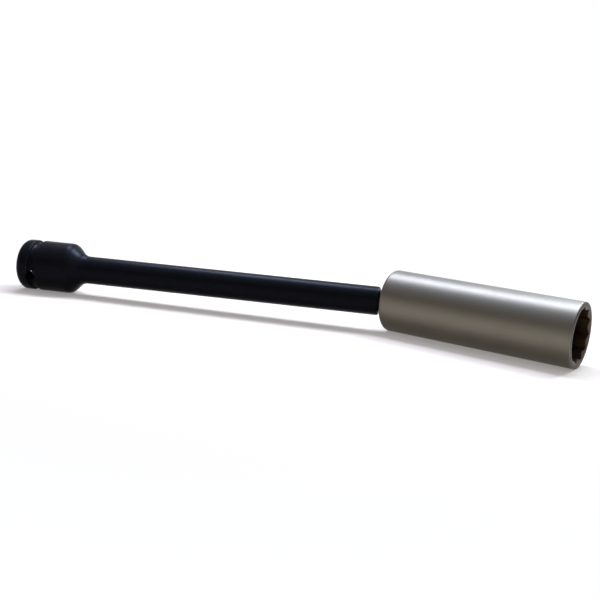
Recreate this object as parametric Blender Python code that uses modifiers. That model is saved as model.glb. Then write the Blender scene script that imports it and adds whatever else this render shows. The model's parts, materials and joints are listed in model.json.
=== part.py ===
"""A swivelling deep lug socket on a square-drive bar, lying on the floor with the joint bent.

Frame: +X runs along the socket towards its open end, +Z is up, and the floor is z = 0. The origin is the
middle of the tool's box on the floor. Lengths are in metres. Every turned piece is drawn about the ball
centre of the swivel, with its own Z along its axis.
"""

import math

import bmesh
import bpy
from mathutils import Vector

MM = 0.001

# Fit between pieces that touch or slide
PART_GAP = 0.3 * MM

# Lug end of the socket
NUT_ACROSS_FLATS = 22.0 * MM
NUT_CLEARANCE = 0.2 * MM
NUT_GRIP_DEPTH = 28.0 * MM
STUD_BORE_STEP = 0.6 * MM
MOUTH_LEAD = 0.2 * MM
MOUTH_SLOPE = math.radians(30.0)
POINT_TURN = math.radians(26.5)

# Outside of the socket, which leaves a wall around the points of the lug end
SOCKET_WALL = 2.18 * MM
SOCKET_LENGTH = 93.0 * MM
SOCKET_FRONT_CHAMFER = 0.4 * MM
SOCKET_REAR_ROUND = 1.8 * MM
SOCKET_REAR_LAND = 0.3 * MM

# Swivel joint inside the rear of the socket. It stops at the same angle each way on both of its axes.
SWIVEL_LIMIT = math.radians(16.7)
REST_MARGIN = math.radians(0.34)
SWIVEL_WALL = 2.25 * MM
NECK_CLEARANCE = 0.4 * MM
NECK_FILLET = 1.2 * MM
PIN_RADIUS = 2.5 * MM
PIN_REACH = 1.3 * MM
PIN_TIP_GAP = 0.45 * MM
PIN_CHAMFER = 0.5 * MM
PIN_LEAN = math.radians(45.0)
RING_THICKNESS = 1.2 * MM
RING_SEAT = 0.8 * MM
RING_OPENING = 6.0 * MM
GUIDE_RADIUS = 7.3 * MM
SEAT_LENGTH = 5.0 * MM
SEAT_NUB_LENGTH = 2.5 * MM
SEAT_NUB_CLEARANCE = 0.6 * MM
SPRING_WIRE_RADIUS = 0.9 * MM
SPRING_SIDE_GAP = 1.2 * MM
SPRING_TURN_GAP = 0.5 * MM
SPRING_TURNS = 4
INNER_WALL = 4.0 * MM

# Bar, from the neck back to the drive head
SHANK_CLEARANCE = 0.3 * MM
SHANK_RADIUS = 7.0 * MM
SHANK_LENGTH = 149.6 * MM
SHANK_END_TAPER = 0.35 * MM
SHANK_END_LENGTH = 0.8 * MM
SHOULDER_ANGLE = math.radians(45.0)
SHOULDER_FILLET = 6.0 * MM
SHOULDER_ROUND = 4.5 * MM
HEAD_WALL = 3.63 * MM
HEAD_LENGTH = 25.1 * MM
HEAD_END_ROUND = 3.6 * MM
HEAD_GROOVE_RADIUS = 1.9 * MM
HEAD_GROOVE_FROM_END = 8.7 * MM
CROSS_HOLE_RADIUS = 2.7 * MM
CROSS_HOLE_DROP = math.radians(23.5)
DRIVE_SQUARE = 12.7 * MM
DRIVE_CLEARANCE = 0.2 * MM
DRIVE_DEPTH = 17.0 * MM

# Facets: steps in a full turn, points in a turn of the spring, and how far a cutter runs past what it cuts
TURN_STEPS = 48
SMALL_STEPS = 24
SPRING_TURN_POINTS = 12
CUT_OVERRUN = 1.0 * MM

# Round sizes of the socket and the ball, from the nut outwards and then in through the walls
POINT_RADIUS = (NUT_ACROSS_FLATS + NUT_CLEARANCE) / math.sqrt(3.0)
SOCKET_RADIUS = POINT_RADIUS + SOCKET_WALL
STUD_BORE_RADIUS = NUT_ACROSS_FLATS / 2.0 - STUD_BORE_STEP
PIN_HALF = SOCKET_RADIUS - SWIVEL_WALL - PIN_TIP_GAP
BALL_RADIUS = PIN_HALF - PIN_REACH
BORE_RADIUS = BALL_RADIUS + PART_GAP

# The swivel leans furthest with both axes at their stops, and lies a little short of that at rest.
TOTAL_LIMIT = math.acos(math.cos(SWIVEL_LIMIT) ** 2)
SOCKET_SWING = TOTAL_LIMIT - REST_MARGIN

# The ring stands just behind the path of the pin's ends, and the neck clears the ring and the flared mouth.
PIN_SWEEP = PIN_HALF * math.sin(SWIVEL_LIMIT) + PIN_RADIUS * math.cos(SWIVEL_LIMIT) + PART_GAP
RING_REAR = PIN_SWEEP + RING_THICKNESS
RING_INNER = math.sqrt(BORE_RADIUS**2 - PIN_SWEEP**2)
RING_OUTER = BORE_RADIUS + RING_SEAT
NECK_SIDE = RING_INNER - RING_REAR * math.tan(TOTAL_LIMIT)
NECK_RADIUS = (NECK_SIDE - NECK_CLEARANCE) * math.cos(TOTAL_LIMIT)
FLARE_START = (BORE_RADIUS - NECK_SIDE) / math.tan(TOTAL_LIMIT)
MOUTH_RADIUS = SOCKET_RADIUS - SOCKET_REAR_ROUND - SOCKET_REAR_LAND
PIVOT_DEPTH = (MOUTH_RADIUS - NECK_SIDE) / math.tan(TOTAL_LIMIT)

# Places along the socket, measured from the ball centre towards the lug end
SEAT_RADIUS = GUIDE_RADIUS - PART_GAP
SEAT_RIM = math.sqrt(BORE_RADIUS**2 - SEAT_RADIUS**2)
SEAT_BACK = SEAT_RIM + SEAT_LENGTH
GUIDE_START = math.sqrt((BORE_RADIUS + PART_GAP) ** 2 - GUIDE_RADIUS**2)
SPRING_RADIUS = GUIDE_RADIUS - SPRING_SIDE_GAP - SPRING_WIRE_RADIUS
SPRING_START = SEAT_BACK + PART_GAP
SPRING_RISE = SPRING_TURNS * (2.0 * SPRING_WIRE_RADIUS + SPRING_TURN_GAP)
INNER_WALL_REAR = SPRING_START + SPRING_RISE + 2.0 * SPRING_WIRE_RADIUS + PART_GAP
INNER_WALL_FRONT = INNER_WALL_REAR + INNER_WALL
SOCKET_FRONT = SOCKET_LENGTH - PIVOT_DEPTH

# Places along the bar, measured from the ball centre towards the head
RIM_REACH = (
    (PIVOT_DEPTH - SOCKET_REAR_ROUND) * math.cos(TOTAL_LIMIT)
    + (SOCKET_RADIUS - SOCKET_REAR_ROUND) * math.sin(TOTAL_LIMIT)
    + SOCKET_REAR_ROUND
)
SHANK_START = RIM_REACH + SHANK_CLEARANCE
SHOULDER_START = SHANK_START + SHANK_LENGTH
SQUARE_SIDE = DRIVE_SQUARE + DRIVE_CLEARANCE
HEAD_RADIUS = SQUARE_SIDE / math.sqrt(2.0) + HEAD_WALL
ROUNDS_DROP = (SHOULDER_FILLET + SHOULDER_ROUND) * (1.0 - math.cos(SHOULDER_ANGLE))
ROUNDS_RUN = (SHOULDER_FILLET + SHOULDER_ROUND) * math.sin(SHOULDER_ANGLE)
CONE_RUN = (HEAD_RADIUS - SHANK_RADIUS - ROUNDS_DROP) / math.tan(SHOULDER_ANGLE)
HEAD_START = SHOULDER_START + ROUNDS_RUN + CONE_RUN
BAR_END = HEAD_START + HEAD_LENGTH
GROOVE_ALONG = BAR_END - HEAD_GROOVE_FROM_END

# The socket lies along the floor, and the bar slopes down until the rounded end of its head touches it too.
EDGE_ALONG = BAR_END - HEAD_END_ROUND
EDGE_OUT = HEAD_RADIUS - HEAD_END_ROUND
BAR_SLOPE = math.asin((SOCKET_RADIUS - HEAD_END_ROUND) / math.hypot(EDGE_ALONG, EDGE_OUT)) - math.atan2(
    EDGE_OUT, EDGE_ALONG
)

# Directions at rest: along the bar towards the ball, out of its side and up from it
bar_forward = Vector(
    (
        math.cos(BAR_SLOPE) * math.cos(SOCKET_SWING),
        math.cos(BAR_SLOPE) * math.sin(SOCKET_SWING),
        math.sin(BAR_SLOPE),
    )
)
bar_side = Vector((-math.sin(SOCKET_SWING), math.cos(SOCKET_SWING), 0.0))
bar_up = bar_forward.cross(bar_side)
socket_forward = Vector((1.0, 0.0, 0.0))

# The pin leans in the bar's cross section. The socket turns about the pin and rocks along its own grooves.
pin_axis = math.cos(PIN_LEAN) * bar_up + math.sin(PIN_LEAN) * bar_side
pin_square = pin_axis.cross(bar_forward)
pin_rock = math.asin(-socket_forward.dot(pin_axis))
pin_turn = math.asin(socket_forward.dot(pin_square) / math.cos(pin_rock))
rock_axis = math.cos(pin_turn) * pin_square - math.sin(pin_turn) * bar_forward
groove_axis = rock_axis.cross(socket_forward)


def edge_reach(world_axis):
    """The lowest place on a world axis of the head's rounded end edge, from the ball centre."""
    along = bar_forward[world_axis]
    return -EDGE_ALONG * along - EDGE_OUT * math.sqrt(1.0 - along**2) - HEAD_END_ROUND


# The scene starts empty, with one collection for the pieces and one for the cutters.
for old in list(bpy.data.objects):
    bpy.data.objects.remove(old, do_unlink=True)

pieces = bpy.data.collections.new("lug_wrench")
bpy.context.scene.collection.children.link(pieces)
cutters = bpy.data.collections.new("cutters")
bpy.context.scene.collection.children.link(cutters)

tool_frame = bpy.data.objects.new("tool_frame", None)
tool_frame.location = (
    -(edge_reach(0) + SOCKET_FRONT) / 2.0,
    -(edge_reach(1) + SOCKET_RADIUS) / 2.0,
    0.0,
)
pieces.objects.link(tool_frame)

swivel_centre = bpy.data.objects.new("swivel_centre", None)
swivel_centre.location = (0.0, 0.0, SOCKET_RADIUS)
swivel_centre.parent = tool_frame
pieces.objects.link(swivel_centre)


def material(name, colour, roughness, metallic):
    """A plain Principled material with its colour in linear light."""
    made = bpy.data.materials.new(name)
    made.use_nodes = True
    shader = made.node_tree.nodes["Principled BSDF"]
    shader.inputs["Base Color"].default_value = (*colour, 1.0)
    shader.inputs["Roughness"].default_value = roughness
    shader.inputs["Metallic"].default_value = metallic
    return made


def arc(centre_out, centre_along, radius, start_deg, end_deg, steps):
    """Points (out, along) on an arc of a turned profile. An angle of 0 points straight out."""
    points = []
    for i in range(steps + 1):
        angle = math.radians(start_deg + (end_deg - start_deg) * i / steps)
        points.append((centre_out + radius * math.cos(angle), centre_along + radius * math.sin(angle)))
    return points


def turned(name, profile, steps, finish, parent, closed=False):
    """A piece turned about its Z axis from a profile that runs from the top down its outer side."""
    mesh = bpy.data.meshes.new(name)
    edges = [(i, i + 1) for i in range(len(profile) - 1)]
    if closed:
        edges.append((len(profile) - 1, 0))
    mesh.from_pydata([(out, 0.0, along) for out, along in profile], edges, [])
    mesh.materials.append(finish)
    made = bpy.data.objects.new(name, mesh)
    pieces.objects.link(made)
    made.parent = parent
    screw = made.modifiers.new("turn", "SCREW")
    screw.axis = "Z"
    screw.steps = steps
    screw.render_steps = steps
    screw.use_merge_vertices = True
    screw.merge_threshold = 0.00001
    screw.use_smooth_shade = True
    return made


def cut(target, name, mesh):
    """Removes the shape of a mesh, given in the target's own frame, from the target. Returns the cutter."""
    cutter = bpy.data.objects.new(name, mesh)
    cutter.parent = target
    cutter.hide_render = True
    cutter.display_type = "WIRE"
    cutters.objects.link(cutter)
    boolean = target.modifiers.new(name, "BOOLEAN")
    boolean.operation = "DIFFERENCE"
    boolean.solver = "EXACT"
    boolean.object = cutter
    return cutter


def prism(name, radius, length, sides):
    """A straight prism or cylinder about Z, centred on the origin, with a corner on +X."""
    shape = bmesh.new()
    bmesh.ops.create_cone(
        shape, cap_ends=True, segments=sides, radius1=radius, radius2=radius, depth=length
    )
    mesh = bpy.data.meshes.new(name)
    shape.to_mesh(mesh)
    shape.free()
    return mesh


def block(name, size):
    """A box of the given sides, centred on the origin."""
    shape = bmesh.new()
    bmesh.ops.create_cube(shape, size=1.0)
    bmesh.ops.scale(shape, vec=size, verts=shape.verts)
    mesh = bpy.data.meshes.new(name)
    shape.to_mesh(mesh)
    shape.free()
    return mesh


black_steel = material("black_phosphate_steel", (0.012, 0.013, 0.016), 0.42, 0.7)
satin_steel = material("satin_nickel_steel", (0.52, 0.51, 0.48), 0.3, 1.0)
hard_steel = material("hardened_steel", (0.32, 0.32, 0.33), 0.35, 1.0)
spring_steel = material("spring_steel", (0.2, 0.2, 0.21), 0.4, 1.0)


# Drive bar: head, shoulder, shank, neck and ball in one forging, with its Z from the ball to the head
END_FILLET = min(NECK_FILLET, (SHANK_RADIUS - SHANK_END_TAPER - NECK_RADIUS) / 2.0)
BALL_FILLET_OUT = NECK_RADIUS + NECK_FILLET
BALL_FILLET_ALONG = math.sqrt((BALL_RADIUS + NECK_FILLET) ** 2 - BALL_FILLET_OUT**2)
BALL_FILLET_TURN = math.degrees(math.atan2(BALL_FILLET_ALONG, BALL_FILLET_OUT))
CONE_TURN = math.degrees(SHOULDER_ANGLE)

bar_profile = [(0.0, BAR_END)]
bar_profile += arc(EDGE_OUT, EDGE_ALONG, HEAD_END_ROUND, 90, 0, 5)
bar_profile += arc(HEAD_RADIUS, GROOVE_ALONG, HEAD_GROOVE_RADIUS, 90, 270, 6)
bar_profile += arc(HEAD_RADIUS - SHOULDER_ROUND, HEAD_START, SHOULDER_ROUND, 0, -CONE_TURN, 4)
bar_profile += arc(SHANK_RADIUS + SHOULDER_FILLET, SHOULDER_START, SHOULDER_FILLET, 180 - CONE_TURN, 180, 4)
bar_profile += [
    (SHANK_RADIUS, SHANK_START + SHANK_END_LENGTH),
    (SHANK_RADIUS - SHANK_END_TAPER, SHANK_START),
]
bar_profile += arc(NECK_RADIUS + END_FILLET, SHANK_START - END_FILLET, END_FILLET, 90, 180, 3)
bar_profile += arc(BALL_FILLET_OUT, BALL_FILLET_ALONG, NECK_FILLET, 180, 180 + BALL_FILLET_TURN, 3)
bar_profile += arc(0.0, 0.0, BALL_RADIUS, BALL_FILLET_TURN, -90, 14)[1:-1]
bar_profile.append((0.0, -BALL_RADIUS))

drive_bar = turned("drive_bar", bar_profile, TURN_STEPS, black_steel, swivel_centre)
drive_bar.rotation_euler = (0.0, -math.radians(90.0) - BAR_SLOPE, SOCKET_SWING)

# Square hole for the driving tool, open at the end of the head, with a flat square to the cross hole
HOLE_TURN = math.radians(90.0) - CROSS_HOLE_DROP
square_hole = cut(
    drive_bar, "square_hole", block("square_hole", (SQUARE_SIDE, SQUARE_SIDE, DRIVE_DEPTH + CUT_OVERRUN))
)
square_hole.location = (0.0, 0.0, BAR_END - (DRIVE_DEPTH - CUT_OVERRUN) / 2.0)
square_hole.rotation_euler = (0.0, 0.0, HOLE_TURN)

# Cross hole through the head in the middle of its ring groove
cross_hole = cut(
    drive_bar,
    "cross_hole",
    prism("cross_hole", CROSS_HOLE_RADIUS, 2.0 * (HEAD_RADIUS + CUT_OVERRUN), SMALL_STEPS),
)
cross_hole.location = (0.0, 0.0, GROOVE_ALONG)
cross_hole.rotation_euler = (0.0, math.radians(90.0), HOLE_TURN)

# Hole for the pin, straight through the ball. The bar's own X points up and its Y out of its side.
pin_hole = cut(
    drive_bar,
    "pin_hole",
    prism("pin_hole", PIN_RADIUS + PART_GAP, 2.0 * (BALL_RADIUS + CUT_OVERRUN), SMALL_STEPS),
)
pin_hole.rotation_euler = (0.0, math.radians(90.0), PIN_LEAN)


# Drive pin: a round dowel with chamfered ends that stand out of the ball into the grooves
pin_profile = [
    (0.0, PIN_HALF),
    (PIN_RADIUS - PIN_CHAMFER, PIN_HALF),
    (PIN_RADIUS, PIN_HALF - PIN_CHAMFER),
    (PIN_RADIUS, PIN_CHAMFER - PIN_HALF),
    (PIN_RADIUS - PIN_CHAMFER, -PIN_HALF),
    (0.0, -PIN_HALF),
]
drive_pin = turned("drive_pin", pin_profile, SMALL_STEPS, hard_steel, swivel_centre)
drive_pin.rotation_mode = "QUATERNION"
drive_pin.rotation_quaternion = pin_axis.to_track_quat("Z", "Y")


# Socket: a turned sleeve with the lug end in front, a wall across its middle and the swivel bore behind
MOUTH_OUT = POINT_RADIUS + MOUTH_LEAD
MOUTH_DEPTH = (MOUTH_OUT - STUD_BORE_RADIUS) * math.tan(MOUTH_SLOPE)

socket_profile = [
    (0.0, INNER_WALL_FRONT),
    (STUD_BORE_RADIUS, INNER_WALL_FRONT),
    (STUD_BORE_RADIUS, SOCKET_FRONT - MOUTH_DEPTH),
    (MOUTH_OUT, SOCKET_FRONT),
    (SOCKET_RADIUS - SOCKET_FRONT_CHAMFER, SOCKET_FRONT),
    (SOCKET_RADIUS, SOCKET_FRONT - SOCKET_FRONT_CHAMFER),
]
socket_profile += arc(
    SOCKET_RADIUS - SOCKET_REAR_ROUND, SOCKET_REAR_ROUND - PIVOT_DEPTH, SOCKET_REAR_ROUND, 0, -90, 4
)
socket_profile += [
    (MOUTH_RADIUS, -PIVOT_DEPTH),
    (BORE_RADIUS, -FLARE_START),
    (BORE_RADIUS, -RING_REAR - PART_GAP),
    (RING_OUTER + PART_GAP, -RING_REAR - PART_GAP),
    (RING_OUTER + PART_GAP, PART_GAP - PIN_SWEEP),
    (BORE_RADIUS, PART_GAP - PIN_SWEEP),
    (BORE_RADIUS, GUIDE_START),
    (GUIDE_RADIUS, GUIDE_START),
    (GUIDE_RADIUS, INNER_WALL_REAR),
    (0.0, INNER_WALL_REAR),
]
socket = turned("socket", socket_profile, TURN_STEPS, satin_steel, swivel_centre)
socket.rotation_euler = (0.0, math.radians(90.0), 0.0)

# Twelve points: two hexagonal holes, one turned 30 degrees from the other
for half in range(2):
    hexagon_name = f"hexagon_{half + 1}"
    hexagon = cut(
        socket, hexagon_name, prism(hexagon_name, POINT_RADIUS, NUT_GRIP_DEPTH + CUT_OVERRUN, 6)
    )
    hexagon.location = (0.0, 0.0, SOCKET_FRONT - (NUT_GRIP_DEPTH - CUT_OVERRUN) / 2.0)
    hexagon.rotation_euler = (0.0, 0.0, POINT_TURN + half * math.radians(30.0))

# Grooves for the ends of the pin, open to the rear. The socket's own X points down and its Y to the side.
GROOVE_LENGTH = PIVOT_DEPTH + CUT_OVERRUN + PIN_SWEEP
grooves = cut(
    socket,
    "pin_grooves",
    block("pin_grooves", (2.0 * (PIN_HALF + PIN_TIP_GAP), 2.0 * (PIN_RADIUS + PART_GAP), GROOVE_LENGTH)),
)
grooves.location = (0.0, 0.0, PIN_SWEEP - GROOVE_LENGTH / 2.0)
GROOVE_TURN = math.atan2(groove_axis.y, -groove_axis.z)
grooves.rotation_euler = (0.0, 0.0, GROOVE_TURN)


# Retaining ring: a flat snap ring behind the ball, open between the two grooves
ring_profile = [
    (RING_OUTER, -PIN_SWEEP),
    (RING_OUTER, -RING_REAR),
    (RING_INNER, -RING_REAR),
    (RING_INNER, -PIN_SWEEP),
]
retaining_ring = turned("retaining_ring", ring_profile, TURN_STEPS, spring_steel, socket, closed=True)
ring_opening = cut(
    retaining_ring,
    "ring_opening",
    block("ring_opening", (RING_OUTER + CUT_OVERRUN, RING_OPENING, RING_THICKNESS + 2.0 * CUT_OVERRUN)),
)
OPENING_TURN = GROOVE_TURN + math.radians(90.0)
OPENING_OUT = (RING_OUTER + CUT_OVERRUN) / 2.0
ring_opening.location = (
    OPENING_OUT * math.cos(OPENING_TURN),
    OPENING_OUT * math.sin(OPENING_TURN),
    -(PIN_SWEEP + RING_REAR) / 2.0,
)
ring_opening.rotation_euler = (0.0, 0.0, OPENING_TURN)


# Spring seat: a button with a hollow face on the ball and a nub that holds the spring in the middle
SEAT_NUB_RADIUS = SPRING_RADIUS - SPRING_WIRE_RADIUS - SEAT_NUB_CLEARANCE
SEAT_RIM_ANGLE = math.degrees(math.asin(SEAT_RIM / BORE_RADIUS))

seat_profile = [
    (0.0, SEAT_BACK + SEAT_NUB_LENGTH),
    (SEAT_NUB_RADIUS, SEAT_BACK + SEAT_NUB_LENGTH),
    (SEAT_NUB_RADIUS, SEAT_BACK),
    (SEAT_RADIUS, SEAT_BACK),
]
seat_profile += arc(0.0, 0.0, BORE_RADIUS, SEAT_RIM_ANGLE, 90, 6)[:-1]
seat_profile.append((0.0, BORE_RADIUS))
spring_seat = turned("spring_seat", seat_profile, SMALL_STEPS, hard_steel, socket)


# Friction spring: one wire wound from the seat to the wall
spring_points = []
SPRING_STEPS = SPRING_TURNS * SPRING_TURN_POINTS
for i in range(SPRING_STEPS + 1):
    turn = 2.0 * math.pi * i / SPRING_TURN_POINTS
    along = SPRING_START + SPRING_WIRE_RADIUS + SPRING_RISE * i / SPRING_STEPS
    spring_points.append((SPRING_RADIUS * math.cos(turn), SPRING_RADIUS * math.sin(turn), along))

spring_path = bpy.data.curves.new("friction_spring", "CURVE")
spring_path.dimensions = "3D"
spring_path.bevel_depth = SPRING_WIRE_RADIUS
spring_path.bevel_resolution = 1
spring_path.use_fill_caps = True
spring_path.materials.append(spring_steel)
wire = spring_path.splines.new("POLY")
wire.points.add(len(spring_points) - 1)
for point, place in zip(wire.points, spring_points):
    point.co = (*place, 1.0)
friction_spring = bpy.data.objects.new("friction_spring", spring_path)
friction_spring.parent = socket
pieces.objects.link(friction_spring)

turn_steps = [
    (Vector(above) - Vector(below)).length
    for below, above in zip(spring_points, spring_points[SPRING_TURN_POINTS:])
]
least_gap = min(turn_steps) - 2.0 * SPRING_WIRE_RADIUS
print(f"least gap between the spring's turns: {least_gap / MM:.2f} mm")
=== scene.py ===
"""A deep lug socket that swivels on the ball of a black square-drive bar, in its finished looks.

Lengths are in metres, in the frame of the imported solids: +X along the socket towards its open end, +Z up,
and the floor at z = 0.
"""

import json
import math

import bmesh
import bpy
import numpy as np
from mathutils import Matrix, Vector


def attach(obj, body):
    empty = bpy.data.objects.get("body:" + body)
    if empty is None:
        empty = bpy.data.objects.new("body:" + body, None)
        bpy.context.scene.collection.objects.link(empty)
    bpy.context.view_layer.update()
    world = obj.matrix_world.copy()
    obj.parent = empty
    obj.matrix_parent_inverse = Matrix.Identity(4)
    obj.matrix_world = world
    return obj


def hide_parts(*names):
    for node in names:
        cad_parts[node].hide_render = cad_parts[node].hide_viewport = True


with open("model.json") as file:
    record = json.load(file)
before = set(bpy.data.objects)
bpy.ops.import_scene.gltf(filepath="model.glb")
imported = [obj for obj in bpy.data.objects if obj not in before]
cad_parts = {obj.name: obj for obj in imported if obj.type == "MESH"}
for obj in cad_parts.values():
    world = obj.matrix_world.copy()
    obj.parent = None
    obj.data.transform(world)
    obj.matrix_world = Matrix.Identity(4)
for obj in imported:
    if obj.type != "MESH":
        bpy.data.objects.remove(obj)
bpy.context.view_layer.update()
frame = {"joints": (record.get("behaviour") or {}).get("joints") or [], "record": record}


# Drive bar: one steel forging with a square-drive head, a round shank, a thin neck and the ball that the
# socket swivels on. It is turned on a lathe, the square is broached, the cross hole and the pin hole are
# drilled, and the whole bar is hardened, phosphated black and oiled.
MM = 0.001
BALL_RADIUS = 11.0 * MM
NECK_RADIUS = 5.324 * MM
NECK_FILLET = 1.2 * MM
NECK_CORNER = 0.75 * MM
SHANK_RADIUS = 7.0 * MM
SHANK_TIP_RADIUS = 6.65 * MM
SHANK_START = 19.86 * MM
SHANK_TIP_LENGTH = 0.8 * MM
SHANK_TIP_EASE = 1.5 * MM
SHANK_TIP_ROUND = 0.4 * MM
SHOULDER_LOW = 171.95 * MM
HEAD_RADIUS = 12.75 * MM
SHOULDER_HIGH = SHOULDER_LOW + HEAD_RADIUS - SHANK_RADIUS
SHOULDER_FILLET = 6.0 * MM
SHOULDER_ROUND = 4.5 * MM
BAR_END = 204.66 * MM
FLAT_END = 9.15 * MM
HEAD_END_ROUND = 3.5964 * MM  # a hair less than the way out from the flat end, so that no two rows meet
RING_GROOVE_AT = 195.96 * MM
RING_GROOVE_HALF = 1.9 * MM
RING_GROOVE_BOTTOM = 10.85 * MM
RING_GROOVE_ROUND = 1.482 * MM
SQUARE_HALF = 6.45 * MM
SQUARE_CORNER = 0.7 * MM
SQUARE_LEAD = 0.5 * MM
SQUARE_DEPTH = 17.0 * MM
SQUARE_FLOOR = BAR_END - SQUARE_DEPTH
SQUARE_TURN = math.radians(66.5)
SQUARE_FLOOR_SHARES = (0.0, 0.35, 0.7, 0.95, 1.0)
SQUARE_ROWS = 5
CROSS_HOLE_RADIUS = 2.7 * MM
PIN_HOLE_RADIUS = 2.8 * MM
PIN_TURN = math.radians(45.0)
DRILL_REACH = 1.2
DRILL_AROUND = 48
EDGE_ROUND = 0.25 * MM
EDGE_WIDTH = 0.9 * MM
EDGE_SHARE = 0.3
ARC_STEP = math.radians(9.0)
NECK_STEPS = 6
BALL_STEPS = 40
LONGEST_ROW = 6.0 * MM
SAME_POINT = 0.002 * MM
LEAST_SLOPE = 1e-9
AROUND = 192
CREASE = math.radians(28.0)

joints = {joint["name"]: joint for joint in frame["joints"]}
mounts = {mount["name"]: mount for mount in frame["record"]["mounts"]}
PIVOT = np.array(joints["swing_about_pin"]["pos_m"])


def unit(vector):
    """The vector divided by its length."""
    return np.asarray(vector, float) / np.linalg.norm(vector)


bar_back = unit(mounts["drive_end"]["axis"])
bar_side = unit((bar_back[1], -bar_back[0], 0.0))
bar_axes = np.array([np.cross(bar_side, bar_back), bar_side, bar_back])


def filleted(corners):
    """Rows (out, along, edge) of a line whose corners (out, along, radius) are rounded by arcs.

    The arc touches both lines at radius / tan(half the corner's angle) from the corner, and its centre lies
    on the halving line at radius / sin(half). Edge is how sharp the corner is, EDGE_ROUND / radius up to 1,
    on an arc, and falls to 0 a short way out on each side.
    """
    corners = np.array(corners, float)
    places, radii = corners[:, :2], corners[1:-1, 2]
    lengths = np.linalg.norm(np.diff(places, axis=0), axis=1)
    ways = np.diff(places, axis=0) / lengths[:, None]
    sweeps = np.arccos(np.clip(np.sum(ways[:-1] * ways[1:], axis=1), -1.0, 1.0))
    touches = np.concatenate([[0.0], radii * np.tan(sweeps / 2.0), [0.0]])
    margins = np.minimum(EDGE_WIDTH, EDGE_SHARE * (lengths - touches[:-1] - touches[1:]))
    rows = [[*places[0], 0.0]]
    for i, (radius, sweep) in enumerate(zip(radii, sweeps)):
        corner, touch = places[i + 1], touches[i + 1]
        start = corner - ways[i] * touch
        end = corner + ways[i + 1] * touch
        centre = corner + unit(ways[i + 1] - ways[i]) * radius / math.cos(sweep / 2.0)
        share = np.linspace(0.0, 1.0, 2 + int(sweep / ARC_STEP))[:, None]
        spread = np.sin((1.0 - share) * sweep) * (start - centre) + np.sin(share * sweep) * (end - centre)
        sharpness = np.full_like(share, min(1.0, EDGE_ROUND / radius))
        rows.append([*(start - ways[i] * margins[i]), 0.0])
        rows += np.hstack([centre + spread / math.sin(sweep), sharpness]).tolist()
        rows.append([*(end + ways[i + 1] * margins[i + 1]), 0.0])
    rows.append([*places[-1], 0.0])
    return np.array(rows)


def arc_rows(centre, radius, start, end, steps):
    """Rows (out, along, 0) on a circle in the profile, from one angle to another, with 0 straight out."""
    angles = np.linspace(start, end, steps + 1)
    return np.stack(
        [centre[0] + radius * np.cos(angles), centre[1] + radius * np.sin(angles), 0.0 * angles], axis=1
    )


def shortened(rows):
    """The same line with more rows, so that no step along it is longer than LONGEST_ROW."""
    run = np.concatenate([[0.0], np.cumsum(np.linalg.norm(np.diff(rows[:, :2], axis=0), axis=1))])
    counts = np.ceil(np.diff(run) / LONGEST_ROW).astype(int).clip(1)
    first = np.repeat(np.arange(len(counts)), counts)
    place = np.arange(counts.sum()) - np.repeat(np.cumsum(counts) - counts, counts)
    marks = np.append(run[first] + np.diff(run)[first] * place / counts[first], run[-1])
    return np.stack([np.interp(marks, run, rows[:, k]) for k in range(3)], axis=1)


def full_turn(columns):
    """Angles of evenly spaced columns over one whole turn."""
    return 2.0 * math.pi * np.arange(columns) / columns


def spokes(angle, first, second):
    """Directions at the given angles from the first towards the second: cos a * first + sin a * second."""
    angle = np.asarray(angle)[..., None]
    return np.cos(angle) * first + np.sin(angle) * second


def rings(out, along, axes, turn=0.0, columns=AROUND):
    """Rings about the third axis through the pivot: pivot + along * third + out * spoke.

    The spokes turn from the first axis towards the second. Out and along hold one row for each ring, and
    one column for each angle or a single one for all.
    """
    angle = turn + full_turn(columns)
    out, along, _ = np.broadcast_arrays(out, along, angle)
    return PIVOT + along[..., None] * axes[2] + out[..., None] * spokes(angle, axes[0], axes[1])


def rounded_square(half_width, half_height, corner, columns=AROUND):
    """Distance from the centre to a rounded rectangle at each angle round it.

    It is half / cos or half / sin on a flat side, whichever is nearer, and on a corner the far crossing of
    the ray with the corner's circle.
    """
    angle = full_turn(columns)
    ray = np.abs(np.stack([np.cos(angle), np.sin(angle)], axis=1)).clip(LEAST_SLOPE)
    flat = np.min(np.array([half_width, half_height]) / ray, axis=1)
    centre = np.array([half_width - corner, half_height - corner])
    on_corner = np.all(flat[:, None] * ray > centre, axis=1)
    along_ray = ray @ centre
    reach = along_ray + np.sqrt((along_ray**2 - centre @ centre + corner**2).clip(0.0))
    return np.where(on_corner, reach, flat)


def skin(name, grid, edge=None):
    """A closed surface over a grid of rings, as an object in the scene.

    Each point joins the next one on its ring and the same two on the next ring by a four-sided face. The
    first and the last ring are drawn together into one point each. Edge gives one value of wear for each
    ring.
    """
    count, columns = grid.shape[:2]
    points = np.vstack([grid[0, :1], grid[1:-1].reshape(-1, 3), grid[-1, :1]])
    here = 1 + np.arange((count - 2) * columns).reshape(count - 2, columns)
    beside = np.roll(here, -1, axis=1)
    walls = np.stack([here[:-1], here[1:], beside[1:], beside[:-1]], axis=-1).reshape(-1, 4)
    start = np.stack([0 * here[0], here[0], beside[0]], axis=-1)
    end = np.stack([here[-1], 0 * here[-1] + len(points) - 1, beside[-1]], axis=-1)
    mesh = bpy.data.meshes.new(name)
    mesh.from_pydata(points.tolist(), [], walls.tolist() + start.tolist() + end.tolist())
    if edge is not None:
        worn = np.concatenate([edge[:1], np.repeat(edge[1:-1], columns), edge[-1:]])
        mesh.attributes.new("edge", "FLOAT", "POINT").data.foreach_set("value", worn.astype(np.float32))
    piece = bpy.data.objects.new(name, mesh)
    bpy.context.scene.collection.objects.link(piece)
    return piece


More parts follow.
